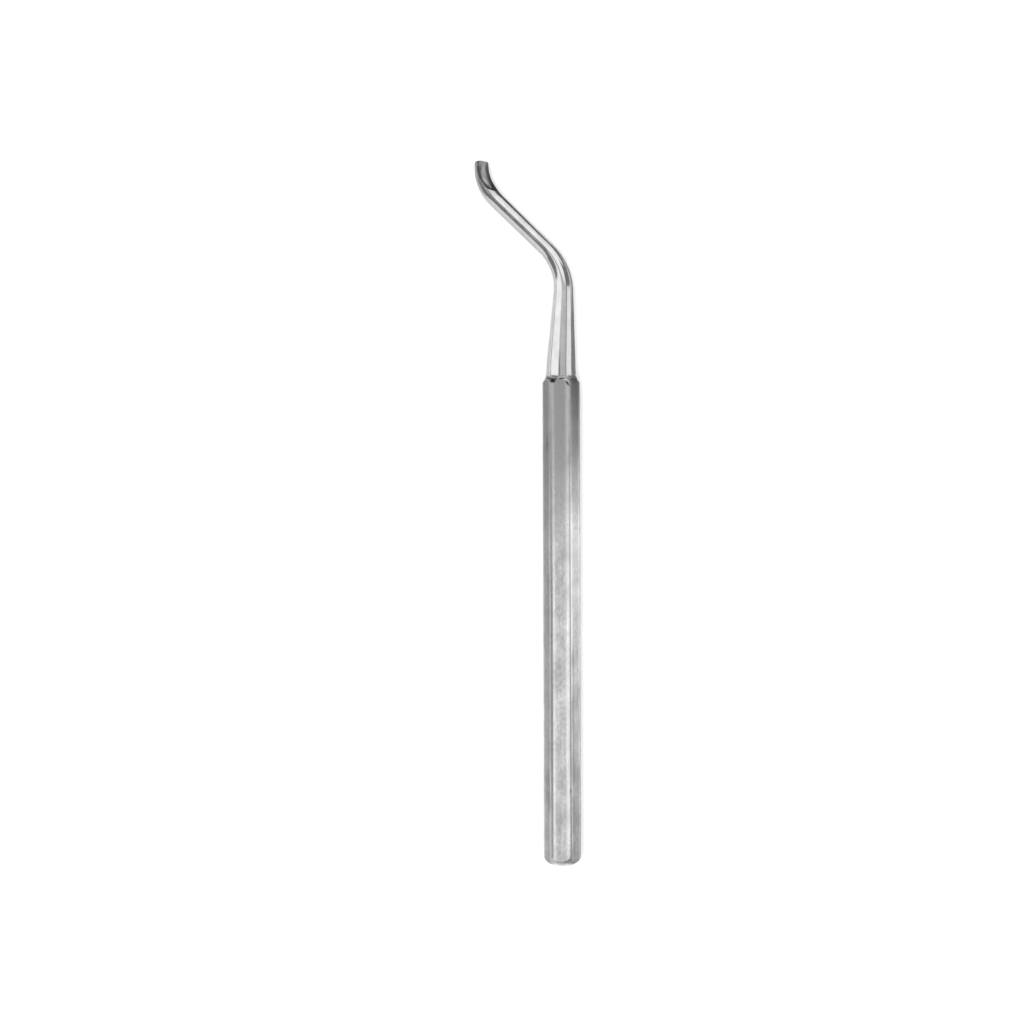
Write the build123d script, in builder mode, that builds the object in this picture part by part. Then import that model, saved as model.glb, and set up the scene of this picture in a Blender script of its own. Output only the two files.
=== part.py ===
from build123d import *
import math
import os

os.makedirs("parts", exist_ok=True)

# Dental elevator: a hollow hexagonal handle, a bent round shank and a gouge blade.
# The handle lies along Y on its bottom flat at Z = 0, with the blade towards +Y and -X.
# The origin is the middle of that flat.

# Handle
handle_sides = 6
handle_length = 117.6
handle_across_flats = 8.0
handle_corner_radius = 0.8
handle_bore = 6.0
mouth_wall = 0.46
mouth_cone_length = 1.6

# End plug
plug_head_length = 5.0
plug_spigot_length = 8.0
butt_edge_radius = 3.0

# Brazed joints
braze_radial_gap = 0.05
braze_face_gap = 0.1
braze_bead_reach = 0.35
braze_bead_rise = 0.14

# Working end, from the handle's mouth to the tip
tang_length = 16.0
lead_in_chamfer = 0.6
shoulder_step = 0.09
shoulder_land = 0.8
neck_lean = 2.1
neck_lean_radius = 98.0
neck_start_drop = 0.12
neck_length = 16.0
neck_end_radius = 2.375
shank_radius = 1.83
shank_bend = 47.8
shank_bend_radius = 14.0
taper_reach_in_bend = 0.5
shank_length = 16.7
blade_blank_radius = 1.92
blade_bend_radius = 11.0
blade_reach_in_bend = 0.6
tip_length = 1.85

# Blade grinding
face_roll = 47.0
face_drop = 0.05
face_flat_length = 1.0
face_wheel_radius = 8.4
face_wheel_sweep = 58.0
hollow_wheel_radius = 6.95
rim_wall = 0.42
back_wall = 0.57
tip_nose_offset = 0.35
tip_nose_margin = 0.03

# Places that follow from the sizes
axis_height = handle_across_flats / 2
half_facet_angle = math.pi / handle_sides
corner_circle_radius = axis_height / math.cos(half_facet_angle)
mouth_y = handle_length / 2
butt_y = -handle_length / 2
plug_seat_y = butt_y + plug_head_length
tube_rear_y = plug_seat_y + braze_face_gap
shoulder_y = mouth_y + braze_face_gap
bore_radius = handle_bore / 2
insert_radius = bore_radius - braze_radial_gap
mouth_face_radius = bore_radius + mouth_wall
shoulder_radius = mouth_face_radius + shoulder_step
neck_start_radius = shoulder_radius - neck_start_drop
hollow_edge_radius = blade_blank_radius - rim_wall
hollow_depth = blade_blank_radius - back_wall - face_drop
# The nose reaches past both rims, so it leaves no step on either
tip_nose_radius = blade_blank_radius + tip_nose_offset + tip_nose_margin
mouth_cone_slope = (corner_circle_radius - mouth_face_radius) / mouth_cone_length

handle_axis = Axis((0, 0, axis_height), (0, 1, 0))
half_section = Plane.XY.offset(axis_height)


def across(y):
    """Plane square to the handle's axis at y, facing the blade."""
    return Plane(origin=(0, y, axis_height), x_dir=(1, 0, 0), z_dir=(0, 1, 0))


# Handle section: a hexagon with rounded corners and its flats facing up and down
with BuildSketch() as handle_section:
    RegularPolygon(handle_across_flats / 2, handle_sides, major_radius=False)
    fillet(handle_section.vertices(), handle_corner_radius)

# Handle tube: hexagonal bar, bored through, coned at the mouth
with BuildPart() as handle_tube:
    with BuildSketch(across(tube_rear_y)):
        add(handle_section.sketch)
        Circle(bore_radius, mode=Mode.SUBTRACT)
    extrude(amount=mouth_y - tube_rear_y)
    with BuildSketch(half_section):
        with BuildLine():
            Polyline(
                (0, tube_rear_y),
                (corner_circle_radius, tube_rear_y),
                (corner_circle_radius, mouth_y - mouth_cone_length),
                (mouth_face_radius, mouth_y),
                (0, mouth_y),
                close=True,
            )
        make_face()
    revolve(axis=handle_axis, mode=Mode.INTERSECT)

# End plug: hexagonal head with a rounded butt, and a spigot that fills the bore's end
with BuildPart() as end_plug:
    with BuildSketch(across(butt_y)):
        add(handle_section.sketch)
    extrude(amount=plug_head_length)
    with BuildSketch(half_section):
        with BuildLine():
            end_flat = Line((0, butt_y), (corner_circle_radius - butt_edge_radius, butt_y))
            rounding = JernArc(end_flat @ 1, (1, 0), butt_edge_radius, 90)
            Polyline(rounding @ 1, (corner_circle_radius, plug_seat_y), (0, plug_seat_y), (0, butt_y))
        make_face()
    revolve(axis=handle_axis, mode=Mode.INTERSECT)
    with BuildSketch(across(plug_seat_y)):
        Circle(insert_radius)
    extrude(amount=plug_spigot_length)
    chamfer(end_plug.edges().sort_by(Axis.Y)[-1], lead_in_chamfer)

# Rear joint: a hexagonal film between head and tube, and a sleeve round the spigot
with BuildPart() as rear_braze_joint:
    with BuildSketch(across(plug_seat_y)):
        add(handle_section.sketch)
        Circle(insert_radius, mode=Mode.SUBTRACT)
    extrude(amount=braze_face_gap)
    with BuildSketch(across(tube_rear_y)):
        Circle(bore_radius)
        Circle(insert_radius, mode=Mode.SUBTRACT)
    extrude(amount=plug_spigot_length - lead_in_chamfer - braze_face_gap)

# Centreline of the working end, level with the handle's axis; the tip ends parallel to the handle
with BuildLine(half_section) as centreline:
    lean = JernArc((0, shoulder_y + shoulder_land), (0, 1), neck_lean_radius, -neck_lean)
    neck = Line(lean @ 1, lean @ 1 + (lean % 1) * neck_length)
    bend = JernArc(neck @ 1, neck % 1, shank_bend_radius, shank_bend)
    shank = Line(bend @ 1, bend @ 1 + (bend % 1) * shank_length)
    return_bend = JernArc(shank @ 1, shank % 1, blade_bend_radius, neck_lean - shank_bend)
    tip = Line(return_bend @ 1, return_bend @ 1 + (return_bend % 1) * tip_length)

# Radii along the centreline, each at an end of a stretch or some way along it
stations = [
    (lean, 0, shoulder_radius),
    (lean, 1, neck_start_radius),
    (neck, 1, neck_end_radius),
    (bend, taper_reach_in_bend, (neck_end_radius + shank_radius) / 2),
    (bend, 1, shank_radius),
    (shank, 1, shank_radius),
    (return_bend, blade_reach_in_bend, blade_blank_radius),
    (tip, 1, blade_blank_radius),
]

# The blade's face looks up and to the right, rolled about the tip's own axis
roll = math.radians(face_roll)
face_normal = Vector(math.sin(roll), 0, math.cos(roll))
rim_direction = Vector(-math.cos(roll), 0, math.sin(roll))
blade_side = Plane(origin=tip @ 1, x_dir=(0, -1, 0), z_dir=rim_direction)
blade_face = Plane(origin=tip @ 1, x_dir=rim_direction, z_dir=face_normal)
clear = 4 * blade_blank_radius

# Working end: tang, shoulder, tapered bent shank and gouge blade in one forging
with BuildPart() as working_end:
    for stretch, along, radius in stations:
        with BuildSketch(Plane(origin=stretch @ along, x_dir=(0, 0, 1), z_dir=stretch % along)):
            Circle(radius)
    sweep(path=centreline.line, multisection=True)
    with BuildSketch(across(shoulder_y)):
        Circle(shoulder_radius)
    extrude(amount=shoulder_land)
    with BuildSketch(across(shoulder_y)):
        Circle(insert_radius)
    extrude(amount=-tang_length)
    chamfer(working_end.edges().sort_by(Axis.Y)[0], lead_in_chamfer)
    # Face: flat at the tip, then following the grinding wheel up and out of the blank
    with BuildSketch(blade_side):
        with BuildLine():
            flat = Line((-clear, -face_drop), (face_flat_length, -face_drop))
            sweep_out = JernArc(flat @ 1, (1, 0), face_wheel_radius, face_wheel_sweep)
            Polyline(sweep_out @ 1, sweep_out @ 1 + Vector(0, clear), (-clear, clear), flat @ 0)
        make_face()
    extrude(amount=clear, both=True, mode=Mode.SUBTRACT)
    # Hollow: the round edge of a second wheel, which runs out before the face does
    wheel_rise = hollow_wheel_radius - hollow_depth - face_drop
    wheel_centre = blade_side.from_local_coords((face_flat_length, wheel_rise))
    with BuildSketch(Plane(origin=wheel_centre, x_dir=face_normal, z_dir=(0, 1, 0))):
        with Locations((hollow_edge_radius - hollow_wheel_radius, 0)):
            Circle(hollow_edge_radius)
    revolve(axis=Axis(wheel_centre, rim_direction), mode=Mode.SUBTRACT)
    # Tip: rounded off square to the face, with its crown a little towards the lower rim
    with BuildSketch(blade_face):
        Rectangle(2 * clear, 2 * tip_nose_radius)
        with Locations((-tip_nose_offset, tip_nose_radius)):
            Circle(tip_nose_radius, mode=Mode.SUBTRACT)
    extrude(amount=clear, both=True, mode=Mode.SUBTRACT)

# Front joint: a sleeve round the tang, a film under the shoulder and a bead round the mouth
sleeve_end_y = shoulder_y - tang_length + lead_in_chamfer
with BuildPart() as front_braze_joint:
    with BuildSketch(half_section):
        with BuildLine():
            inside = Polyline(
                (shoulder_radius, shoulder_y + braze_bead_reach),
                (shoulder_radius, shoulder_y),
                (insert_radius, shoulder_y),
                (insert_radius, sleeve_end_y),
                (bore_radius, sleeve_end_y),
                (bore_radius, mouth_y),
                (mouth_face_radius, mouth_y),
                (mouth_face_radius + mouth_cone_slope * braze_bead_reach, mouth_y - braze_bead_reach),
            )
            crown = (inside @ 0 + inside @ 1) / 2 + Vector(braze_bead_rise, 0)
            ThreePointArc(inside @ 1, crown, inside @ 0)
        make_face()
    revolve(axis=handle_axis)

for name, piece in (
    ("handle_tube", handle_tube),
    ("end_plug", end_plug),
    ("rear_braze_joint", rear_braze_joint),
    ("working_end", working_end),
    ("front_braze_joint", front_braze_joint),
):
    piece.part.label = name
    export_step(piece.part, f"parts/{name}.step")
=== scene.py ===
import math

import bmesh
import bpy
from mathutils import Matrix, Vector, noise


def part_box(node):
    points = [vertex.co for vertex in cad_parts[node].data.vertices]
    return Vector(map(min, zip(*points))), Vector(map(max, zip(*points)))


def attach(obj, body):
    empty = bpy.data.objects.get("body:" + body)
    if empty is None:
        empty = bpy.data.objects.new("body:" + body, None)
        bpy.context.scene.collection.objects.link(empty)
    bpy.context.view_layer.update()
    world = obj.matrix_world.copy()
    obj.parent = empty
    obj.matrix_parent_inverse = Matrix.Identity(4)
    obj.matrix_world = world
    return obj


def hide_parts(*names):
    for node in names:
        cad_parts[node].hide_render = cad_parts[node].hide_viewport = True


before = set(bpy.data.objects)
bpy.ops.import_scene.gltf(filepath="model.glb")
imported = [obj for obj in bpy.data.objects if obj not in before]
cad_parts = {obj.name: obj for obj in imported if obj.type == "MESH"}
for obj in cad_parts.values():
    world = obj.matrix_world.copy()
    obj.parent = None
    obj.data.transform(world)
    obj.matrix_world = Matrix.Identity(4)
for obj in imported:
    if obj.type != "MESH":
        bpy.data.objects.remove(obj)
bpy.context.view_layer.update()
mm = 0.001
sameSpot = 0.0005 * mm     # points closer than this are one point
crispAngle = 24            # edges that turn further than this, in degrees, are drawn crisp

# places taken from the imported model
tubeLow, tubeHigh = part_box("handle_tube")
plugLow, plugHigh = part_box("end_plug")
seamLow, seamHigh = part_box("rear_braze_joint")
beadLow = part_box("front_braze_joint")[0]
axisHeight = (tubeLow.z + tubeHigh.z) / 2
mouthY = tubeHigh.y
tubeRearY = tubeLow.y
buttY = plugLow.y


# camera, floor and light
cameraValues = {
    "lens": 135.0,
    "sensor": 36.0,
    "distance": 925.9 * mm,
    "lookAt": (-11.96 * mm, 26.28 * mm, 4.0 * mm),
    "leanToRight": 5.0,      # degrees from straight above, towards +X
    "roll": 0.168,
}


def placeCamera(values):
    lean = math.radians(values["leanToRight"])
    roll = math.radians(values["roll"])
    back = Vector((math.sin(lean), 0, math.cos(lean)))
    right = Vector((0, 1, 0)).cross(back)
    turnedRight = right * math.cos(roll) - Vector((0, 1, 0)) * math.sin(roll)
    up = back.cross(turnedRight)
    data = bpy.data.cameras.new("benchCamera")
    data.lens = values["lens"]
    data.sensor_width = values["sensor"]
    data.clip_start = 0.01
    data.clip_end = 20.0
    camera = bpy.data.objects.new("benchCamera", data)
    spot = Vector(values["lookAt"]) + back * values["distance"]
    camera.matrix_world = Matrix.Translation(spot) @ Matrix((turnedRight, up, back)).transposed().to_4x4()
    bpy.context.scene.collection.objects.link(camera)
    bpy.context.scene.camera = camera


def meshObject(name, bm):
    mesh = bpy.data.meshes.new(name)
    bm.to_mesh(mesh)
    bm.free()
    made = bpy.data.objects.new(name, mesh)
    bpy.context.scene.collection.objects.link(made)
    return made


floorValues = {
    "size": 6.0,
    "drop": 0.03 * mm,
    "colour": (0.9, 0.9, 0.895, 1),
}


def layFloor(values):
    bm = bmesh.new()
    bmesh.ops.create_grid(bm, x_segments=1, y_segments=1, size=values["size"] / 2)
    bmesh.ops.translate(bm, vec=(0, 0, -values["drop"]), verts=bm.verts)
    made = meshObject("paleFloor", bm)
    paper = bpy.data.materials.new("paleFloorPaper")
    paper.use_nodes = True
    shader = paper.node_tree.nodes["Principled BSDF"]
    shader.inputs["Base Color"].default_value = values["colour"]
    shader.inputs["Roughness"].default_value = 0.9
    shader.inputs["Specular IOR Level"].default_value = 0.1
    made.data.materials.append(paper)


# cards stand round the handle's axis: angle from straight up towards +X, in degrees, and reach along Y in mm;
# each tone is (share of the reach from the butt side, brightness); a name says which steel shows the card
cardValues = {
    "overheadMain": {"angles": (-12, 15), "reach": (-320, 66), "away": 450,
                     "tones": [(0.0, 0.72), (0.57, 0.78), (0.67, 1.7), (0.75, 2.3), (0.81, 2.0), (0.87, 0.78),
                               (1.0, 0.82)]},
    "leftLine": {"angles": (-27, -12), "reach": (-350, -48), "away": 450,
                 "tones": [(0.0, 1.3), (1.0, 1.8)]},
    "leftLineFront": {"angles": (-16, -12), "reach": (-48, 44), "away": 450,
                      "tones": [(0.0, 1.8), (1.0, 1.8)]},
    "overheadStrip": {"angles": (-16, 40), "reach": (128, 171), "away": 450,
                      "tones": [(0.0, 0.66), (1.0, 0.66)]},
    "landStrip": {"angles": (-3, 40), "reach": (68, 127.9), "away": 450,
                  "tones": [(0.0, 0.62), (1.0, 0.66)]},
    "runBand": {"angles": (-34, 34), "reach": (172, 520), "away": 520,
                "tones": [(0.0, 1.3), (1.0, 1.25)]},
    "runSide": {"angles": (34, 66), "reach": (380, 758), "away": 520,
                "tones": [(0.0, 1.2), (1.0, 1.1)]},
    "heelGlow": {"angles": (-34, 80), "reach": (760, 2400), "away": 520,
                 "tones": [(0.0, 1.7), (1.0, 1.9)]},
    "leftNeck": {"angles": (-84, -16.5), "reach": (68, 320), "away": 460,
                 "tones": [(0.0, 1.3), (1.0, 1.3)]},
    "leftFar": {"angles": (-93, -37), "reach": (-350, -130), "away": 460,
                "tones": [(0.0, 1.0), (1.0, 1.0)]},
    "rightStrip": {"angles": (15, 52), "reach": (-350, 66), "away": 460,
                   "tones": [(0.0, 0.8), (0.6, 1.0), (0.72, 1.6), (0.86, 1.4), (0.93, 0.95), (1.0, 0.9)]},
    "rightUpper": {"angles": (55, 91), "reach": (0, 46), "away": 460,
                   "tones": [(0.0, 0.9), (1.0, 0.7)]},
    "rightNeck": {"angles": (46, 90), "reach": (68, 166), "away": 460,
                  "tones": [(0.0, 1.15), (1.0, 1.15)]},
    "buttEnd": {"angles": (-80, 25), "reach": (-3000, -240), "away": 300,
                "tones": [(0.0, 0.9), (0.85, 0.95), (1.0, 1.0)]},
}

# cards that lie beside the handle and under the working end: across and along in mm
lowCardLift = 0.02 * mm
lowCardValues = {
    "leftButtLow": {"across": (-140, -4.9), "reach": (-300, -110.1), "tones": [(0.0, 0.6), (1.0, 0.5)]},
    "leftLow": {"across": (-140, -4.9), "reach": (-110, 59),
                "tones": [(0.0, 0.95), (0.3, 0.8), (0.7, 0.72), (1.0, 0.62)]},
    "rightButtLow": {"across": (9.6, 140), "reach": (-300, -110.1), "tones": [(0.0, 0.3), (1.0, 0.25)]},
    "rightNear": {"across": (4.7, 9.5), "reach": (-110, 100), "tones": [(0.0, 0.35), (0.6, 0.4), (1.0, 0.2)]},
    "rightLow": {"across": (9.6, 140), "reach": (-110, 100),
                 "tones": [(0.0, 0.55), (0.28, 0.8), (0.5, 1.35), (0.63, 1.6), (0.72, 0.85), (0.8, 0.3),
                           (0.88, 0.3), (0.92, 0.7), (1.0, 0.7)]},
    "leftEndLow": {"across": (-90, -21), "reach": (59.2, 140), "tones": [(0.0, 1.0), (1.0, 0.85)]},
    "shankLow": {"across": (-20.9, 4.6), "reach": (59.2, 99.9),
                 "tones": [(0.0, 0.75), (0.3, 0.95), (0.6, 0.8), (1.0, 0.7)]},
    "runLow": {"across": (-20.9, 90), "reach": (100.1, 105.9), "tones": [(0.0, 0.45), (1.0, 0.4)]},
    "bladeLow": {"across": (-20.9, 300), "reach": (106.1, 450), "tones": [(0.0, 0.08), (1.0, 0.1)]},
}


def cardFinish(name, tones, low, high):
    finish = bpy.data.materials.new(name + "Tone")
    finish.use_nodes = True
    tree = finish.node_tree
    tree.nodes.clear()
    peak = max(tone for share, tone in tones)
    place = tree.nodes.new("ShaderNodeTexCoord")
    parts = tree.nodes.new("ShaderNodeSeparateXYZ")
    share = tree.nodes.new("ShaderNodeMapRange")
    share.inputs["From Min"].default_value = low
    share.inputs["From Max"].default_value = high
    ramp = tree.nodes.new("ShaderNodeValToRGB")
    while len(ramp.color_ramp.elements) < len(tones):
        ramp.color_ramp.elements.new(0.5)
    for stop, (where, tone) in zip(ramp.color_ramp.elements, tones):
        stop.position = where
        stop.color = (tone / peak, tone / peak, tone / peak, 1)
    glow = tree.nodes.new("ShaderNodeEmission")
    glow.inputs["Strength"].default_value = peak
    out = tree.nodes.new("ShaderNodeOutputMaterial")
    tree.links.new(place.outputs["Object"], parts.inputs[0])
    tree.links.new(parts.outputs["Y"], share.inputs["Value"])
    tree.links.new(share.outputs[0], ramp.inputs["Fac"])
    tree.links.new(ramp.outputs["Color"], glow.inputs["Color"])
    tree.links.new(glow.outputs[0], out.inputs["Surface"])
    return finish


def seenOnlyInSteel(card):
    card.visible_camera = False
    card.visible_diffuse = False
    card.visible_shadow = False
    card.visible_transmission = False


def standCards(values):
    for name, card in values.items():
        low, high = card["reach"]
        middle = math.radians(sum(card["angles"]) / 2)
        half = math.radians(card["angles"][1] - card["angles"][0]) / 2
        away = card["away"] * mm
        bm = bmesh.new()
        bmesh.ops.create_grid(bm, x_segments=8, y_segments=1, size=0.5)
        for v in bm.verts:      # curved round the handle, so each angle is as far away
            turn = middle + 2 * half * v.co.x
            y = (low + (high - low) * (v.co.y + 0.5)) * mm
            v.co = (away * math.sin(turn), y, axisHeight + away * math.cos(turn))
        made = meshObject(name, bm)
        made.data.materials.append(cardFinish(name, card["tones"], low * mm, high * mm))
        seenOnlyInSteel(made)


def layLowCards(values):
    for name, card in values.items():
        low, high = card["reach"]
        inner, outer = card["across"]
        bm = bmesh.new()
        bmesh.ops.create_grid(bm, x_segments=1, y_segments=1, size=0.5)
        size = ((outer - inner) * mm, (high - low) * mm, 1)
        middle = ((inner + outer) / 2 * mm, (low + high) / 2 * mm, lowCardLift)
        bmesh.ops.scale(bm, vec=size, verts=bm.verts)
        bmesh.ops.translate(bm, vec=middle, verts=bm.verts)
        made = meshObject(name, bm)
        made.data.materials.append(cardFinish(name, card["tones"], low * mm, high * mm))
        seenOnlyInSteel(made)


lightValues = {
    "surround": (0.23, 0.23, 0.24, 1),
    "panelSize": 1.8,
    "panelHeight": 1.3,
    "panelPower": 38.0,
}


def hangLights(values):
    world = bpy.data.worlds.new("greyRoom")
    world.use_nodes = True
    world.node_tree.nodes["Background"].inputs["Color"].default_value = values["surround"]
    bpy.context.scene.world = world
    data = bpy.data.lights.new("softPanel", "AREA")
    data.size = values["panelSize"]
    data.energy = values["panelPower"]
    panel = bpy.data.objects.new("softPanel", data)
    panel.location = (0, 0, values["panelHeight"])
    panel.visible_camera = False
    panel.visible_glossy = False      # the steel sees the cards instead
    bpy.context.scene.collection.objects.link(panel)


placeCamera(cameraValues)
layFloor(floorValues)
standCards(cardValues)
layLowCards(lowCardValues)
hangLights(lightValues)
bpy.context.scene.view_settings.view_transform = "Standard"
print("camera, floor and light ready")


# finishes
def startFinish(name):
    finish = bpy.data.materials.new(name)
    finish.use_nodes = True
    tree = finish.node_tree
    place = tree.nodes.new("ShaderNodeTexCoord")
    return finish, tree, tree.nodes["Principled BSDF"], place.outputs["Object"]


def grainOf(tree, place, scale, stretch=(1, 1, 1), detail=4.0):
    mapping = tree.nodes.new("ShaderNodeMapping")
    mapping.inputs["Scale"].default_value = stretch
    grain = tree.nodes.new("ShaderNodeTexNoise")
    grain.inputs["Scale"].default_value = scale
    grain.inputs["Detail"].default_value = detail
    tree.links.new(place, mapping.inputs["Vector"])
    tree.links.new(mapping.outputs["Vector"], grain.inputs["Vector"])
    return grain.outputs["Fac"]


def ranged(tree, source, low, high, fromLow=0.3, fromHigh=0.7):
    node = tree.nodes.new("ShaderNodeMapRange")
    node.inputs["From Min"].default_value = fromLow
    node.inputs["From Max"].default_value = fromHigh
    node.inputs["To Min"].default_value = low
    node.inputs["To Max"].default_value = high
    tree.links.new(source, node.inputs["Value"])
    return node.outputs[0]


def mixed(tree, share, first, second):
    node = tree.nodes.new("ShaderNodeMix")
    node.data_type = "RGBA"
    tree.links.new(share, node.inputs[0])
    for socket, colour in ((node.inputs[6], first), (node.inputs[7], second)):
        if isinstance(colour, tuple):
            socket.default_value = colour
        else:
            tree.links.new(colour, socket)
    return node.outputs[2]


def sums(tree, kind, first, second):
    node = tree.nodes.new("ShaderNodeMath")
    node.operation = kind
    node.use_clamp = kind == "MULTIPLY"
    for socket, value in ((node.inputs[0], first), (node.inputs[1], second)):
        if isinstance(value, (int, float)):
            socket.default_value = value
        else:
            tree.links.new(value, socket)
    return node.outputs[0]


def vertexValue(tree, name):
    node = tree.nodes.new("ShaderNodeAttribute")
    node.attribute_name = name
    return node.outputs["Fac"]


def raised(tree, shader, height, strength, depth, under=None):
    node = tree.nodes.new("ShaderNodeBump")
    node.inputs["Strength"].default_value = strength
    node.inputs["Distance"].default_value = depth
    tree.links.new(height, node.inputs["Height"])
    if under is not None:
        tree.links.new(under, node.inputs["Normal"])
    tree.links.new(node.outputs[0], shader.inputs["Normal"])
    return node.outputs[0]


satinValues = {
    "dull": (0.37, 0.37, 0.377, 1),
    "bright": (0.53, 0.53, 0.53, 1),
    "rubbed": (0.74, 0.74, 0.735, 1),
    # colour of the painted dark reflections along the flats, partly dirt
    "darkReflectionAndGrime": (0.12, 0.12, 0.125, 1),
    "pitOxideAndCreaseShade": (0.03, 0.028, 0.026, 1),
    "frontShadeTint": (0.30, 0.298, 0.30, 1),   # painted shade: the handle is drawn darker towards the mouth
    "frontShadeFrom": 20.0,
    "frontShadeFull": 40.0,
    "frontShadeShare": 0.7,
    "roughness": (0.25, 0.38),
    "patchScale": 300,
    "mottleScale": 1500,
    "streakScale": 2600,
    "speckScale": 9000,
}


def makeSatinSteel(values):
    finish, tree, shader, place = startFinish("satinSteel")
    patches = grainOf(tree, place, values["patchScale"], (1, 0.6, 1), 5)      # cloudy handling marks
    streaks = grainOf(tree, place, values["streakScale"], (1, 0.04, 1), 3)    # lengthwise grinding
    mottle = grainOf(tree, place, values["mottleScale"], (1, 0.7, 1), 4)
    specks = grainOf(tree, place, values["speckScale"], (1, 0.6, 1), 2)
    broad = sums(tree, "ADD", sums(tree, "MULTIPLY", patches, 0.42), sums(tree, "MULTIPLY", mottle, 0.36))
    tone = sums(tree, "ADD", broad, sums(tree, "MULTIPLY", streaks, 0.22))
    colour = mixed(tree, ranged(tree, tone, 0, 1, 0.40, 0.60), values["dull"], values["bright"])
    parts = tree.nodes.new("ShaderNodeSeparateXYZ")
    tree.links.new(place, parts.inputs[0])
    # painted shade: the handle darkens towards the mouth over a wandering stretch, and its rubbed edges show
    # less there
    wander = sums(tree, "MULTIPLY", ranged(tree, patches, -1, 1), 6 * mm)
    along = sums(tree, "ADD", parts.outputs["Y"], wander)
    frontShade = ranged(tree, along, 0, values["frontShadeShare"], values["frontShadeFrom"] * mm, values["frontShadeFull"] * mm)
    colour = mixed(tree, frontShade, colour, values["frontShadeTint"])
    # painted dark reflections along the flats, partly dirt and handling marks
    reflectionAndSoil = sums(tree, "MULTIPLY", vertexValue(tree, "darkReflectionAndGrime"), ranged(tree, mottle, 0.25, 1.0))
    colour = mixed(tree, reflectionAndSoil, colour, values["darkReflectionAndGrime"])
    wear = sums(tree, "MULTIPLY", vertexValue(tree, "edgeWear"), ranged(tree, patches, 0.45, 1.0))
    wear = sums(tree, "MULTIPLY", wear, ranged(tree, frontShade, 1.0, 0.55, 0, 0.7))
    colour = mixed(tree, wear, colour, values["rubbed"])
    burnt = vertexValue(tree, "pitsAndCreaseShade")
    colour = mixed(tree, burnt, colour, values["pitOxideAndCreaseShade"])
    tree.links.new(colour, shader.inputs["Base Color"])
    rough = ranged(tree, tone, values["roughness"][1], values["roughness"][0], 0.38, 0.62)
    rough = sums(tree, "ADD", rough, sums(tree, "MULTIPLY", sums(tree, "ADD", reflectionAndSoil, burnt), 0.2))
    tree.links.new(rough, shader.inputs["Roughness"])
    shader.inputs["Metallic"].default_value = 1.0
    under = raised(tree, shader, streaks, 0.15, 0.003 * mm)
    raised(tree, shader, specks, 0.2, 0.003 * mm, under)
    return finish


polishedValues = {
    "shade": (0.60, 0.60, 0.605, 1),
    "shine": (0.70, 0.70, 0.70, 1),
    "groundAndShade": (0.33, 0.33, 0.335, 1),      # painted shade: the ground hollow and face and the dressed back are drawn darker; the grinding also leaves them rougher
    "roughness": (0.07, 0.17),
    "groundRough": 0.2,
    "cloudScale": 420,
    "rubScale": 3400,
}


def makePolishedSteel(values):
    finish, tree, shader, place = startFinish("polishedSteel")
    clouds = grainOf(tree, place, values["cloudScale"], (1, 0.7, 1), 4)
    rubs = grainOf(tree, place, values["rubScale"], (1, 0.05, 1), 3)       # marks of the polishing wheel
    colour = mixed(tree, ranged(tree, clouds, 0, 1), values["shade"], values["shine"])
    # painted shade on the ground faces and the dressed back, which are also drawn rougher
    groundAndShade = vertexValue(tree, "groundAndShade")
    colour = mixed(tree, groundAndShade, colour, values["groundAndShade"])
    tree.links.new(colour, shader.inputs["Base Color"])
    tone = sums(tree, "ADD", sums(tree, "MULTIPLY", clouds, 0.5), sums(tree, "MULTIPLY", rubs, 0.5))
    rough = ranged(tree, tone, values["roughness"][0], values["roughness"][1])
    rough = sums(tree, "ADD", rough, sums(tree, "MULTIPLY", groundAndShade, values["groundRough"]))
    tree.links.new(rough, shader.inputs["Roughness"])
    shader.inputs["Metallic"].default_value = 1.0
    raised(tree, shader, rubs, 0.12, 0.002 * mm)
    return finish


brazeValues = {
    "metal": (0.30, 0.295, 0.29, 1),
    "bright": (0.50, 0.49, 0.475, 1),
    "flush": (0.53, 0.53, 0.53, 1),
    # dark oxide in the pits, and the painted shade line in the crease at the foot of the shank
    "pitOxideAndCreaseShade": (0.035, 0.03, 0.028, 1),
    "lumpScale": 1400,
    "poreScale": 3200,
}


def makeBrazeAlloy(values):
    finish, tree, shader, place = startFinish("brazeAlloy")
    lumps = grainOf(tree, place, values["lumpScale"], (1, 1, 1), 5)
    pores = tree.nodes.new("ShaderNodeTexVoronoi")
    pores.inputs["Scale"].default_value = values["poreScale"]
    tree.links.new(place, pores.inputs["Vector"])
    colour = mixed(tree, ranged(tree, lumps, 0, 1), values["metal"], values["bright"])
    colour = mixed(tree, vertexValue(tree, "flush"), colour, values["flush"])
    # dark pits, and painted shade in the crease at the foot of the shank
    colour = mixed(tree, vertexValue(tree, "pitsAndCreaseShade"), colour, values["pitOxideAndCreaseShade"])
    tree.links.new(colour, shader.inputs["Base Color"])
    rough = ranged(tree, lumps, 0.28, 0.42)
    tree.links.new(sums(tree, "ADD", rough, sums(tree, "MULTIPLY", vertexValue(tree, "pitsAndCreaseShade"), 0.35)),
                   shader.inputs["Roughness"])
    shader.inputs["Metallic"].default_value = 1.0
    under = raised(tree, shader, pores.outputs["Distance"], 0.2, 0.01 * mm)
    raised(tree, shader, lumps, 0.35, 0.02 * mm, under)
    return finish


satinSteel = makeSatinSteel(satinValues)
polishedSteel = makePolishedSteel(polishedValues)
brazeAlloy = makeBrazeAlloy(brazeValues)
print("finishes mixed")


# ring tools
def ringEdges(bm, ring):
    return [bm.edges.get((a, b)) for a, b in zip(ring, ring[1:] + ring[:1])]


def firstRing(bm, count):
    made = bmesh.ops.create_circle(bm, segments=count, radius=1.0)
    return list(made["verts"])


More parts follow.
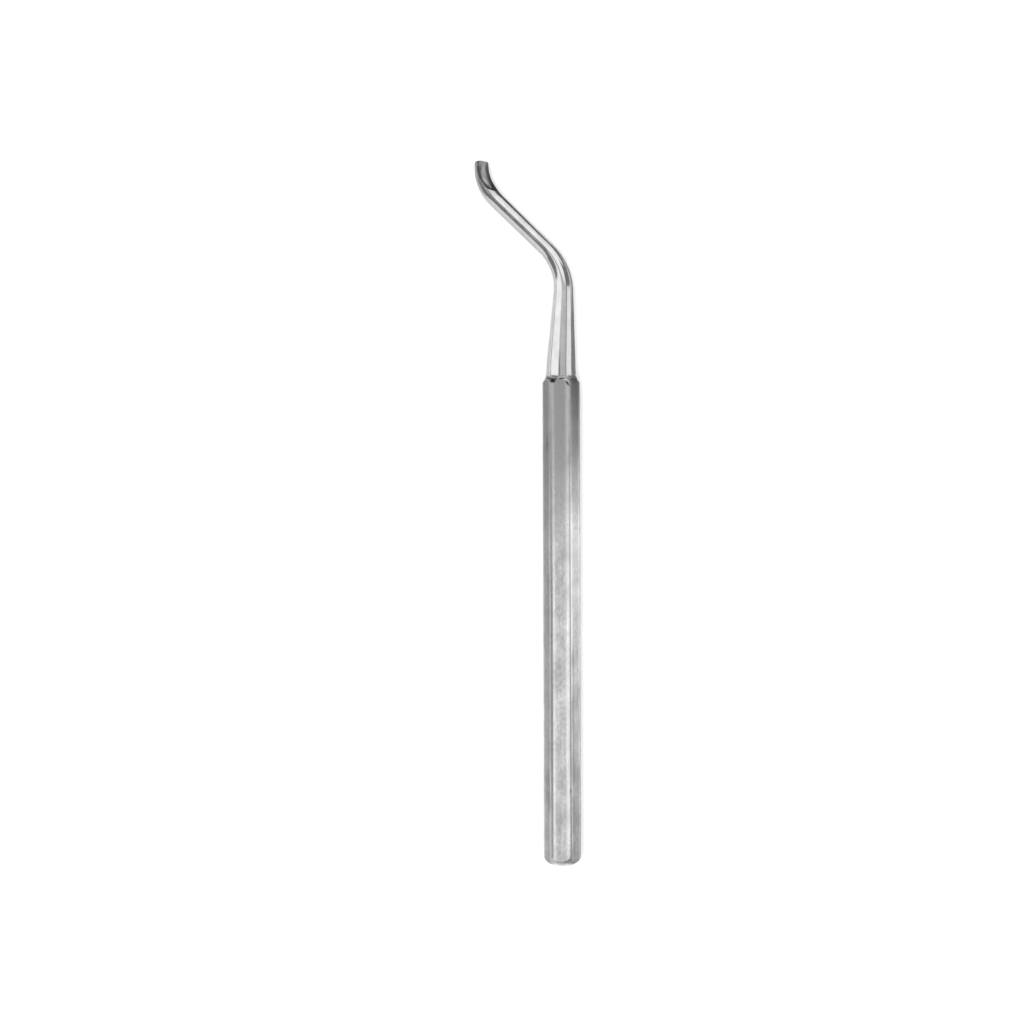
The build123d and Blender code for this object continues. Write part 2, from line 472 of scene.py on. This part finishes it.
def nextRing(bm, ring):
    grown = bmesh.ops.extrude_edge_only(bm, edges=ringEdges(bm, ring))
    fresh = {g for g in grown["geom"] if isinstance(g, bmesh.types.BMVert)}
    return [next(e.other_vert(v) for e in v.link_edges if e.other_vert(v) in fresh) for v in ring]


def crispEdges(bm, degrees):
    for face in bm.faces:
        face.smooth = True
    for edge in bm.edges:
        edge.smooth = edge.calc_face_angle(0) < math.radians(degrees)


def finishPiece(name, bm, finish, slotName, *nodes):
    bmesh.ops.remove_doubles(bm, verts=bm.verts, dist=sameSpot)
    bmesh.ops.recalc_face_normals(bm, faces=bm.faces)
    crispEdges(bm, crispAngle)
    made = meshObject(name, bm)
    made.data.materials.append(finish)
    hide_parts(*nodes)
    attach(made, "root")
    return made


# hexagonal handle
handleValues = {
    "flatSteps": 18,
    "cornerSteps": 9,
    "apothemFront": 3.995,
    "apothemRear": 3.98,
    "cornerFront": 0.95,       # crisper at the mouth, worn round towards the butt
    "cornerRear": 1.15,
    "twistFront": -1.0,
    "twistRear": 1.0,
    "boreRadius": 3.0,
    "mouthRadius": 3.46,
    "coneLength": 1.6,
    "coneOuter": 4.62,
    "buttRounding": 3.0,
    "rowStep": 1.5,
    "fineStep": 0.06,
    "fineReach": 3.1,          # the rows are close together this far behind the mouth
    "waviness": 0.018,
    "waveAcross": 0.35,
    "waveAlong": 0.11,
    "wearWidth": 0.42,
    "spigotGap": 0.05,
    "spigotLead": 0.6,
    "pitReach": 4.0,           # how far behind the mouth the tube is pitted
    "pitShare": 0.7,
}


def shareToRear(y):
    return min(max((mouthY - y) / (mouthY - buttY), 0), 1)


def envelope(values, y):
    fromMouth = (mouthY - y) / mm
    fromButt = (y - buttY) / mm
    widest = values["coneOuter"]
    if fromMouth < values["coneLength"]:
        rise = (widest - values["mouthRadius"]) / values["coneLength"]
        widest = values["mouthRadius"] + rise * max(fromMouth, 0)
    rounding = values["buttRounding"]
    if fromButt < rounding:
        drop = rounding - math.sqrt(max(rounding ** 2 - (rounding - fromButt) ** 2, 0))
        widest = values["coneOuter"] - drop
    return widest


def handleSpot(values, index, y):
    steps = values["flatSteps"] + values["cornerSteps"]
    side, step = divmod(index, steps)
    share = shareToRear(y)
    apothem = values["apothemFront"] + (values["apothemRear"] - values["apothemFront"]) * share
    corner = values["cornerFront"] + (values["cornerRear"] - values["cornerFront"]) * share ** 0.8
    twist = values["twistFront"] + (values["twistRear"] - values["twistFront"]) * share
    reach = (apothem - corner) * math.tan(math.radians(30))
    along = reach if step >= values["flatSteps"] else -reach + 2 * reach * step / values["flatSteps"]
    arc = 60 * max(step - values["flatSteps"], 0) / values["cornerSteps"]
    base = math.radians(60 * side + twist)
    turn = math.radians(60 * side + twist + arc)
    x = math.sin(base) * (apothem - corner) + math.cos(base) * along + math.sin(turn) * corner
    z = math.cos(base) * (apothem - corner) - math.sin(base) * along + math.cos(turn) * corner
    grain = Vector((x * values["waveAcross"], y / mm * values["waveAlong"], z * values["waveAcross"]))
    wave = noise.noise(grain) * values["waviness"]
    radius = math.hypot(x, z)
    held = min(radius + wave, envelope(values, y)) / radius
    # the flat it lies on never sinks below the bench
    return Vector((x * held * mm, y, max(axisHeight + z * held * mm, 0)))


def cornerDistance(values, index, y):
    side, step = divmod(index, values["flatSteps"] + values["cornerSteps"])
    if step >= values["flatSteps"]:
        return side, 0.0, 0.0
    share = shareToRear(y)
    apothem = values["apothemFront"]
    corner = values["cornerFront"] + (values["cornerRear"] - values["cornerFront"]) * share ** 0.8
    wide = 2 * (apothem - corner) * math.tan(math.radians(30))
    fromLast = wide * step / values["flatSteps"]
    return side, fromLast, wide - fromLast


def handleWear(values, index, y):
    side, fromLast, toNext = cornerDistance(values, index, y)
    return math.exp(-(min(fromLast, toNext) / values["wearWidth"]) ** 2)


darkBandRagged = 0.5          # how uneven a band's sides are
darkBandGrain = 0.35
darkBandFade = 4              # a band fades out over this length at each end, in mm

# painted dark reflections, partly dirt and handling marks, in bands along a flat: the flat, counted round
# from the top towards +X, distance from its first corner and half width in mm, start and end along the handle
# in mm, how dark
darkReflectionAndGrimeBands = [
    (1, 0.35, 0.5, -59.0, -3.0, 0.72),
    (1, 2.9, 0.55, 38.0, 60.0, 0.5),
    (5, 2.9, 0.8, -9.0, 13.0, 0.6),
    (5, 2.6, 0.9, -49.0, -34.0, 0.5),
    (5, 2.2, 0.5, 39.0, 46.0, 0.7),
    (5, 2.9, 0.5, 24.0, 45.0, 0.3),
    (1, 1.9, 0.5, 36.0, 57.0, 0.28),
    (4, 1.6, 0.6, -30.0, 5.0, 0.35),
    (2, 1.8, 0.6, -20.0, 30.0, 0.35),
    (3, 1.8, 0.9, -50.0, 40.0, 0.25),
]


# how deep a point lies in the painted dark reflection bands, which are partly dirt
def handleDarkReflectionAndGrime(values, index, y):
    side, fromLast, toNext = cornerDistance(values, index, y)
    if fromLast == toNext == 0.0:
        return 0.0
    deepest = 0.0
    for flat, across, halfWide, start, end, depth in darkReflectionAndGrimeBands:
        if side != flat:
            continue
        ragged = 1 + darkBandRagged * noise.noise(Vector((across, y / mm * darkBandGrain, flat)))
        near = math.exp(-((fromLast - across) / (halfWide * ragged)) ** 2)
        fade = min(max(min(y / mm - start, end - y / mm) / darkBandFade, 0), 1)
        deepest = max(deepest, depth * near * fade * ragged)
    return min(deepest, 1.0)


knockRadius = 4.4          # how far the knocked corners are from the handle's axis, in mm

# small knocks: how far along, which way it faces in degrees, half length, half width and depth in mm
handleKnocks = [
    (-4.7, 91, 0.8, 0.7, 0.24),
    (-22.0, -88, 3.0, 0.8, 0.08),
    (-28.5, -92, 1.6, 0.7, 0.07),
    (22.0, 88, 1.0, 0.5, 0.06),
    (-41.0, 33, 0.9, 0.5, 0.05),
]


def knocked(place):
    across = Vector((place.x, 0, place.z - axisHeight))
    angle = math.degrees(math.atan2(across.x, across.z))
    for y, facing, halfLength, halfWidth, depth in handleKnocks:
        along = (place.y / mm - y) / halfLength
        turned = (angle - facing + 180) % 360 - 180
        aside = math.radians(turned) * knockRadius / halfWidth
        near = along ** 2 + aside ** 2
        if near < 1:
            place = place - across.normalized() * depth * mm * (1 - near) ** 2
    return place


def rowsBetween(start, end, fineAt, values):
    rows = [start]
    while rows[-1] < end - 1e-9:
        nearFine = any(low - 1e-9 <= rows[-1] < high for low, high in fineAt)
        step = (values["fineStep"] if nearFine else values["rowStep"]) * mm
        upTo = min([low for low, high in fineAt if low > rows[-1] + 1e-9] + [end])
        rows.append(min(rows[-1] + step, upTo))
    return rows


def shapeRing(ring, spots, layers=None, values=None):
    for index, (vertex, spot) in enumerate(zip(ring, spots)):
        vertex.co = spot
        if layers is not None:
            vertex[layers[0]] = handleWear(values, index, spot.y)
            vertex[layers[1]] = handleDarkReflectionAndGrime(values, index, spot.y)


def boreSpots(outer, radius, y):
    spots = []
    for spot in outer:
        aside = Vector((spot.x, 0, spot.z - axisHeight)).normalized() * radius
        spots.append(Vector((aside.x, y, axisHeight + aside.z)))
    return spots


pitRagged = 0.35           # how uneven the pits' rims are
pitGrain = 2600

# pits and dark spots: across and along in mm, half sizes, slant in degrees, depth, how dark
brazePits = [
    (-1.75, 57.8, 0.95, 0.72, 12, 0.22, 1.25),
    (-2.8, 58.35, 0.9, 0.3, 18, 0.12, 1.0),
    (-1.1, 58.25, 0.6, 0.24, -10, 0.10, 1.0),
    (0.35, 58.3, 0.95, 0.28, -12, 0.12, 0.95),
    (1.8, 57.2, 0.38, 0.85, -36, 0.12, 1.0),
    (3.4, 57.9, 0.6, 0.8, -10, 0.05, 0.5),
    (2.9, 58.25, 0.7, 0.24, -22, 0.08, 0.8),
]


def pitDepthAt(place):
    deepest = 0.0
    dark = 0.0
    if place.z < axisHeight:
        return deepest, dark
    for x, y, halfX, halfY, slant, depth, stain in brazePits:
        offset = Vector((place.x / mm - x, place.y / mm - y))
        offset.rotate(Matrix.Rotation(math.radians(slant), 2))
        ragged = 1 + pitRagged * noise.noise(Vector((place.x, place.y, place.z)) * pitGrain)
        near = ((offset.x / halfX) ** 2 + (offset.y / halfY) ** 2) * ragged
        if near < 1:
            deepest = max(deepest, depth * (1 - near))
            dark = max(dark, min(1, (1 - near) * stain))
    return deepest, dark


def makeHandleTube(values):
    count = 6 * (values["flatSteps"] + values["cornerSteps"])
    bm = bmesh.new()
    bm.verts.layers.float.new("edgeWear")
    bm.verts.layers.float.new("darkReflectionAndGrime")
    bm.verts.layers.float.new("pitsAndCreaseShade")
    wear = (bm.verts.layers.float["edgeWear"], bm.verts.layers.float["darkReflectionAndGrime"])
    dark = bm.verts.layers.float["pitsAndCreaseShade"]
    knocks = [((y - length) * mm, (y + length) * mm) for y, facing, length, width, depth in handleKnocks]
    fineAt = sorted([(mouthY - values["fineReach"] * mm, mouthY)] + knocks)
    rows = rowsBetween(tubeRearY, mouthY, fineAt, values)
    outer = [handleSpot(values, i, rows[0]) for i in range(count)]
    ring = firstRing(bm, count)
    shapeRing(ring, boreSpots(outer, values["boreRadius"] * mm, rows[0]))
    for y in rows:
        outer = [knocked(handleSpot(values, i, y)) for i in range(count)]
        ring = nextRing(bm, ring)
        shapeRing(ring, outer, wear, values)
        if mouthY - y < values["pitReach"] * mm:
            for vertex in ring:
                sink, vertex[dark] = pitDepthAt(vertex.co)
                across = Vector((vertex.co.x, 0, vertex.co.z - axisHeight)).normalized()
                vertex.co -= across * sink * values["pitShare"] * mm
    for y in (rows[-1], rows[0]):
        ring = nextRing(bm, ring)
        shapeRing(ring, boreSpots(outer, values["boreRadius"] * mm, y))
    return finishPiece("handleTube", bm, satinSteel, "satin_steel", "handle_tube")


def makeButtPlug(values):
    count = 6 * (values["flatSteps"] + values["cornerSteps"])
    bm = bmesh.new()
    bm.verts.layers.float.new("edgeWear")
    bm.verts.layers.float.new("darkReflectionAndGrime")
    wear = (bm.verts.layers.float["edgeWear"], bm.verts.layers.float["darkReflectionAndGrime"])
    seat = seamLow.y
    rounding = values["buttRounding"]
    rows = [buttY + rounding * (1 - math.cos(math.radians(a))) * mm for a in range(0, 90, 3)]
    rows += [buttY + rounding * mm + (seat - buttY - rounding * mm) * s / 4 for s in range(5)]
    outer = [handleSpot(values, i, rows[0]) for i in range(count)]
    ring = firstRing(bm, count)
    shapeRing(ring, outer, wear, values)
    bmesh.ops.contextual_create(bm, geom=ringEdges(bm, ring))
    for y in rows[1:]:
        ring = nextRing(bm, ring)
        shapeRing(ring, [handleSpot(values, i, y) for i in range(count)], wear, values)
    spigot = values["boreRadius"] - values["spigotGap"]
    lead = values["spigotLead"]
    for radius, y in ((spigot, seat), (spigot, plugHigh.y - lead * mm), (spigot - lead, plugHigh.y)):
        outer = [v.co.copy() for v in ring]
        ring = nextRing(bm, ring)
        shapeRing(ring, boreSpots(outer, radius * mm, y))
    bmesh.ops.contextual_create(bm, geom=ringEdges(bm, ring))
    return finishPiece("buttPlug", bm, satinSteel, "satin_steel", "end_plug")


seamValues = {"sunk": 0.0015}


def makeRearSeam(values, handle):
    count = 6 * (handle["flatSteps"] + handle["cornerSteps"])
    bm = bmesh.new()
    flush = bm.verts.layers.float.new("flush")
    low, high = seamLow.y, tubeRearY
    rim = []
    for y in (low, high):
        spots = [handleSpot(handle, i, y) for i in range(count)]
        middle = Vector((0, y, axisHeight))
        rim.append([s + (middle - s).normalized() * values["sunk"] * mm for s in spots])
    inside = (handle["boreRadius"] - handle["spigotGap"]) * mm
    sleeve = handle["boreRadius"] * mm
    ring = firstRing(bm, count)
    shapeRing(ring, boreSpots(rim[0], inside, low))
    for spots in (rim[0], rim[1], boreSpots(rim[1], sleeve, high), boreSpots(rim[1], sleeve, seamHigh.y),
                  boreSpots(rim[1], inside, seamHigh.y), boreSpots(rim[0], inside, low)):
        ring = nextRing(bm, ring)
        shapeRing(ring, spots)
    for v in bm.verts:
        v[flush] = 1.0
    return finishPiece("rearBrazeSeam", bm, brazeAlloy, "braze_alloy", "rear_braze_joint")


makeHandleTube(handleValues)
makeButtPlug(handleValues)
makeRearSeam(seamValues, handleValues)
print("handle, plug and rear seam made")


# braze ring at the mouth
brazeRingValues = {
    "steps": 200,
    "shoulderRadius": 3.55,
    "mouthRadius": 3.46,
    "insertRadius": 2.95,
    "boreRadius": 3.0,
    "faceGap": 0.1,
    "coneRise": 0.725,         # how fast the cone widens towards the butt
    "reachUp": 0.14,
    "reachDown": 0.62,
    "swell": 0.05,
    "uneven": 0.07,
    "darkLine": 0.2,           # how far the painted shade line in the crease reaches down from the shank
    "lumpScale": 900,
    "grainScale": 2600,
    "wander": 0.12,            # how far the ring's edges stray along the handle
    "wanderScale": 700,
    "brokenScale": 620,
    "brokenSpread": 1.5,
    "brokenMiddle": 0.62,
}


def brazeProfile(values):
    mouth = mouthY / mm
    shoulder = mouth + values["faceGap"]
    down = values["reachDown"]
    lower = (values["mouthRadius"] + values["coneRise"] * down, mouth - down)
    upper = (values["shoulderRadius"], shoulder + values["reachUp"])
    outside = []
    for step in range(13):
        share = step / 12
        r = lower[0] + (upper[0] - lower[0]) * share
        y = lower[1] + (upper[1] - lower[1]) * share
        bulge = values["swell"] * math.sin(math.pi * share) ** 0.8
        outside.append((r + bulge, y + bulge * 0.25))
    inside = [
        (values["shoulderRadius"], shoulder), (values["insertRadius"], shoulder),
        (values["insertRadius"], beadLow.y / mm), (values["boreRadius"], beadLow.y / mm),
        (values["boreRadius"], mouth), (values["mouthRadius"], mouth),
    ]
    return outside, inside


def makeFrontBraze(values):
    outside, inside = brazeProfile(values)
    bm = bmesh.new()
    dark = bm.verts.layers.float.new("pitsAndCreaseShade")
    line = [bm.verts.new((r * mm, y * mm, axisHeight)) for r, y in outside + inside]
    edges = [bm.edges.new(pair) for pair in zip(line, line[1:] + line[:1])]
    bmesh.ops.spin(bm, geom=line + edges, cent=(0, 0, axisHeight), axis=(0, 1, 0), angle=math.tau,
                   steps=values["steps"], use_merge=True)
    bmesh.ops.remove_doubles(bm, verts=bm.verts, dist=sameSpot)
    low = outside[0][1] - 0.05
    for v in bm.verts:
        across = Vector((v.co.x, 0, v.co.z - axisHeight))
        radius = across.length / mm
        if v.co.y / mm < low or radius < values["mouthRadius"] + 0.02:
            continue
        lump = noise.noise(v.co * values["lumpScale"]) * values["uneven"]
        lump += noise.noise(v.co * values["grainScale"]) * values["uneven"] * 0.4
        sink, spot = pitDepthAt(v.co)
        # painted shade: a broken dark line in the crease where the shank meets the ring, joined with the dark
        # pits
        nearShank = max(0.0, 1 - (outside[-1][1] + 0.02 - v.co.y / mm) / values["darkLine"])
        streak = Vector((v.co.x * values["brokenScale"], 3.1, v.co.z * values["brokenScale"]))
        broken = values["brokenMiddle"] + values["brokenSpread"] * noise.noise(streak)
        v[dark] = min(1.0, max(spot, nearShank * max(broken, 0.0)))
        v.co += across.normalized() * (lump - sink) * mm
        v.co.y += noise.noise(v.co * values["wanderScale"] + Vector((5, 0, 0))) * values["wander"] * mm
    return finishPiece("frontBrazeRing", bm, brazeAlloy, "braze_alloy", "front_braze_joint")


makeFrontBraze(brazeRingValues)
print("front braze ring made")


# working end
workingValues = {
    "sides": 88,
    "tangRadius": 2.95,
    "tangLead": 0.6,
    "shoulder": 3.55,
    "land": 0.8,
    # stretches of the centreline from the shoulder: length in mm, turn to the left in degrees
    "stretches": [(3.592, -2.1), (16.0, 0.0), (11.68, 47.8), (16.7, 0.0), (8.774, -45.7), (1.85, 0.0)],
    # radius at distances along it
    "radii": [(0.0, 3.55), (3.6, 3.43), (19.6, 2.375), (25.4, 2.1), (31.3, 1.83), (48.0, 1.83), (53.2, 1.92),
              (59.0, 1.92)],
    "ease": 1.6,
    "step": 0.6,
    "bladeStep": 0.22,
    "bladeLength": 12.0,
    "skin": 0.06,              # a face further inside the rod than this has been ground
    "dressed": 10.0,           # the back is dressed this far from the tip, fading out over the last part
    "dressedFade": 4.0,
    "dressedShare": 0.75,
    "joinWithin": 0.004,       # points the cutters leave closer than this are joined
    "dropBelow": 0.002,        # and slivers thinner than this are dropped
}

bladeValues = {
    "roll": 47.0,
    "drop": 0.05,
    "flatLength": 1.0,
    "faceWheel": 8.4,
    "faceSweep": 58.0,
    "hollowWheel": 6.95,
    "hollowEdge": 1.5,
    "hollowDepth": 1.3,
    "noseRadius": 2.3,
    "noseOffset": 0.35,
    "beyond": 7.7,             # how far the cutters reach past the blade
    "faceSteps": 72,
    "edgeSides": 72,
    "wheelSteps": 220,
    "noseSteps": 96,
}


def radiusAlong(values, distance):
    total = 0.0
    for shift in (-1, -0.5, 0, 0.5, 1):
        where = min(max(distance + shift * values["ease"] * min(distance / 3, 1), 0), values["radii"][-1][0])
        for (d0, r0), (d1, r1) in zip(values["radii"], values["radii"][1:]):
            if d0 <= where <= d1:
                total += r0 + (r1 - r0) * (where - d0) / (d1 - d0)
                break
    return total / 5


def walkCentreline(values, startY):
    whole = sum(length for length, turn in values["stretches"])
    spot = Vector((0, startY, axisHeight))
    heading = 0.0
    walked = 0.0
    places = [(spot.copy(), heading, walked)]
    for length, turn in values["stretches"]:
        step = values["bladeStep"] if whole - walked < values["bladeLength"] else values["step"]
        count = math.ceil(length / step)
        for part in range(count):
            middle = math.radians(heading + turn / count / 2)
            spot = spot + Vector((-math.sin(middle), math.cos(middle), 0)) * (length / count * mm)
            heading += turn / count
            walked += length / count
            places.append((spot.copy(), heading, walked))
    return places


def roundRing(ring, centre, heading, radius):
    right = Vector((math.cos(math.radians(heading)), math.sin(math.radians(heading)), 0))
    for index, vertex in enumerate(ring):
        turn = math.tau * index / len(ring)
        vertex.co = centre + (right * math.cos(turn) + Vector((0, 0, 1)) * math.sin(turn)) * radius * mm


def makeRod(values):
    bm = bmesh.new()
    shoulderY = mouthY + brazeRingValues["faceGap"] * mm
    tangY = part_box("working_end")[0].y
    lead = values["tangLead"]
    ring = firstRing(bm, values["sides"])
    roundRing(ring, Vector((0, tangY, axisHeight)), 0, values["tangRadius"] - lead)
    bmesh.ops.contextual_create(bm, geom=ringEdges(bm, ring))
    for y, radius in ((tangY + lead * mm, values["tangRadius"]), (shoulderY, values["tangRadius"]),
                      (shoulderY, values["shoulder"])):
        ring = nextRing(bm, ring)
        roundRing(ring, Vector((0, y, axisHeight)), 0, radius)
    places = walkCentreline(values, shoulderY + values["land"] * mm)
    for centre, heading, walked in places:
        ring = nextRing(bm, ring)
        roundRing(ring, centre, heading, radiusAlong(values, walked))
    bmesh.ops.contextual_create(bm, geom=ringEdges(bm, ring))
    bmesh.ops.recalc_face_normals(bm, faces=bm.faces)
    return bm, places


def closedPrism(bm, push):
    # filled from its edges, because a hollow outline filled from its points comes out scrambled
    face = bmesh.ops.contextual_create(bm, geom=bm.edges[:])["faces"][0]
    grown = bmesh.ops.extrude_face_region(bm, geom=[face])["geom"]
    bmesh.ops.translate(bm, vec=push, verts=[g for g in grown if isinstance(g, bmesh.types.BMVert)])
    bmesh.ops.recalc_face_normals(bm, faces=bm.faces)


def chainFrom(bm, first, centre, axis, degrees, steps):
    start = bm.verts.new(first)
    bmesh.ops.spin(bm, geom=[start], cent=centre, axis=axis, angle=math.radians(degrees), steps=steps)
    bm.verts.ensure_lookup_table()
    return list(bm.verts)


def joinLoop(bm, verts):
    for a, b in zip(verts, verts[1:] + verts[:1]):
        if bm.edges.get((a, b)) is None:
            bm.edges.new((a, b))


def bladeCutters(values, tip):
    roll = math.radians(values["roll"])
    normal = Vector((math.sin(roll), 0, math.cos(roll)))
    rim = Vector((-math.cos(roll), 0, math.sin(roll)))
    back = Vector((0, -1, 0))
    far = values["beyond"]

    def spot(behind, above, aside=0.0):
        return tip + (back * behind + normal * above + rim * aside) * mm

    # the face: flat at the tip, then up and out along the grinding wheel
    face = bmesh.new()
    low = -values["drop"]
    wheel = values["faceWheel"]
    start = spot(values["flatLength"], low, -far)
    hub = spot(values["flatLength"], low + wheel, -far)
    line = chainFrom(face, start, hub, rim, values["faceSweep"], values["faceSteps"])
    outY = values["flatLength"] + wheel * math.sin(math.radians(values["faceSweep"]))
    line += [face.verts.new(spot(outY, far, -far)), face.verts.new(spot(-far, far, -far)),
             face.verts.new(spot(-far, low, -far))]
    joinLoop(face, line)
    closedPrism(face, rim * 2 * far * mm)

    # the hollow: the round edge of a smaller wheel
    hollow = bmesh.new()
    wheel = values["hollowWheel"]
    hub = spot(values["flatLength"], wheel - values["hollowDepth"] - values["drop"])
    edgeAt = hub - normal * (wheel - values["hollowEdge"]) * mm
    turned = Matrix((normal, rim, normal.cross(rim))).transposed().to_4x4()
    bmesh.ops.create_circle(hollow, segments=values["edgeSides"], radius=values["hollowEdge"] * mm,
                            matrix=Matrix.Translation(edgeAt) @ turned)
    bmesh.ops.spin(hollow, geom=hollow.verts[:] + hollow.edges[:], cent=hub, axis=rim, angle=math.tau,
                   steps=values["wheelSteps"], use_merge=True)
    bmesh.ops.remove_doubles(hollow, verts=hollow.verts, dist=sameSpot)
    bmesh.ops.recalc_face_normals(hollow, faces=hollow.faces)

    # the nose: rounded off square to the face, past both rims
    nose = bmesh.new()
    radius = values["noseRadius"]
    start = spot(radius, -far, -values["noseOffset"] - radius)
    line = chainFrom(nose, start, spot(radius, -far, -values["noseOffset"]), normal, 180, values["noseSteps"])
    line += [nose.verts.new(spot(radius, -far, far)), nose.verts.new(spot(-far, -far, far)),
             nose.verts.new(spot(-far, -far, -far)), nose.verts.new(spot(radius, -far, -far))]
    joinLoop(nose, line)
    closedPrism(nose, normal * 2 * far * mm)
    cuts = (("faceCut", face), ("hollowCut", hollow), ("noseCut", nose))
    return [meshObject(name, bm) for name, bm in cuts]


# the ground faces and the dressed back get the darker painted-shade colour and extra roughness
def markGroundAndShade(bm, values, places):
    groundAndShade = bm.faces.layers.float.new("groundAndShade")
    nearTip = [(centre, radiusAlong(values, walked) * mm) for centre, heading, walked in places
               if places[-1][2] - walked < values["bladeLength"]]
    for face in bm.faces:
        middle = face.calc_center_median()
        if middle.y < nearTip[0][0].y:
            continue
        away, radius = min(((middle - centre).length, radius) for centre, radius in nearTip)
        if away < radius - values["skin"] * mm:
            face[groundAndShade] = 1.0
        else:
            fromTip = (places[-1][0] - middle).length / mm
            dressed = (values["dressed"] - fromTip) / values["dressedFade"]
            face[groundAndShade] = values["dressedShare"] * min(max(dressed, 0), 1)


def makeWorkingEnd(values, blade):
    bm, places = makeRod(values)
    tip = places[-1][0]
    rod = meshObject("rodBlank", bm)
    cutters = bladeCutters(blade, tip)
    for cutter in cutters:
        cut = rod.modifiers.new(cutter.name, "BOOLEAN")
        cut.operation = "DIFFERENCE"
        cut.solver = "EXACT"
        cut.object = cutter
    bpy.context.view_layer.update()
    shaped = rod.evaluated_get(bpy.context.evaluated_depsgraph_get())
    bm = bmesh.new()
    bm.from_mesh(shaped.to_mesh())
    shaped.to_mesh_clear()
    for leftover in cutters + [rod]:
        bpy.data.objects.remove(leftover)
    bmesh.ops.remove_doubles(bm, verts=bm.verts, dist=values["joinWithin"] * mm)
    bmesh.ops.dissolve_degenerate(bm, dist=values["dropBelow"] * mm, edges=bm.edges)
    markGroundAndShade(bm, values, places)
    made = finishPiece("bladeAndShank", bm, polishedSteel, "polished_steel", "working_end")
    even = made.modifiers.new("evenShading", "WEIGHTED_NORMAL")
    even.keep_sharp = True
    return made


workingEnd = makeWorkingEnd(workingValues, bladeValues)
print("working end made,", len(workingEnd.data.polygons), "faces")
